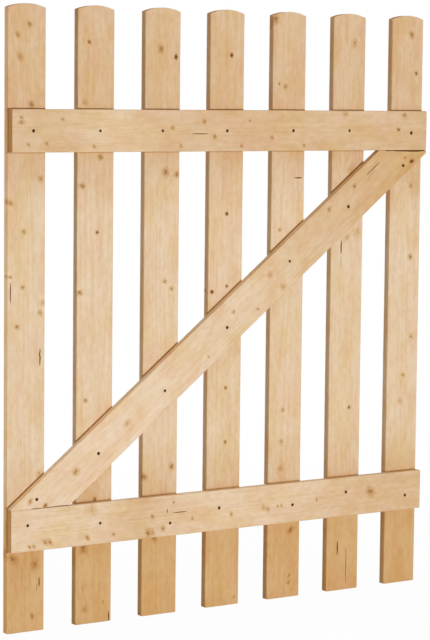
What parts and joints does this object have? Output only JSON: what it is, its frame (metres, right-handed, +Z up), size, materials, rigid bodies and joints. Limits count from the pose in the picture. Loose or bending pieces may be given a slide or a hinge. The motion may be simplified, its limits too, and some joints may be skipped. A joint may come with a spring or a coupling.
{
  "type": "wooden garden gate leaf",
  "caption": "Wooden garden gate leaf: spaced upright pickets with gently arched tops, carried by level top and bottom rails and a diagonal brace rising from the hinge side.",
  "frame": {"origin": "lower hinge seat: on the bottom rail's outer face, where the rail's centreline crosses that of the hinge-side picket", "axes": "+X along the leaf from the hinge side to the latch side, +Y from the rails' outer face to the pickets, +Z up"},
  "size_m": [1, 0.032, 1.2],
  "materials": {
    "picket_wood": "planed untreated softwood with knots, raw",
    "rail_wood": "planed untreated softwood with knots, raw, slightly more golden",
    "brace_wood": "planed untreated softwood with knots, raw, slightly paler",
    "nail_steel": "dull, darkened, driven just below the wood"
  },
  "bodies": {
    "root": {"picket_1": "picket_wood", "picket_2": "picket_wood", "picket_3": "picket_wood", "picket_4": "picket_wood", "picket_5": "picket_wood", "picket_6": "picket_wood", "picket_7": "picket_wood", "top_rail": "rail_wood", "bottom_rail": "rail_wood", "brace": "brace_wood"}
  },
  "joints": []
}
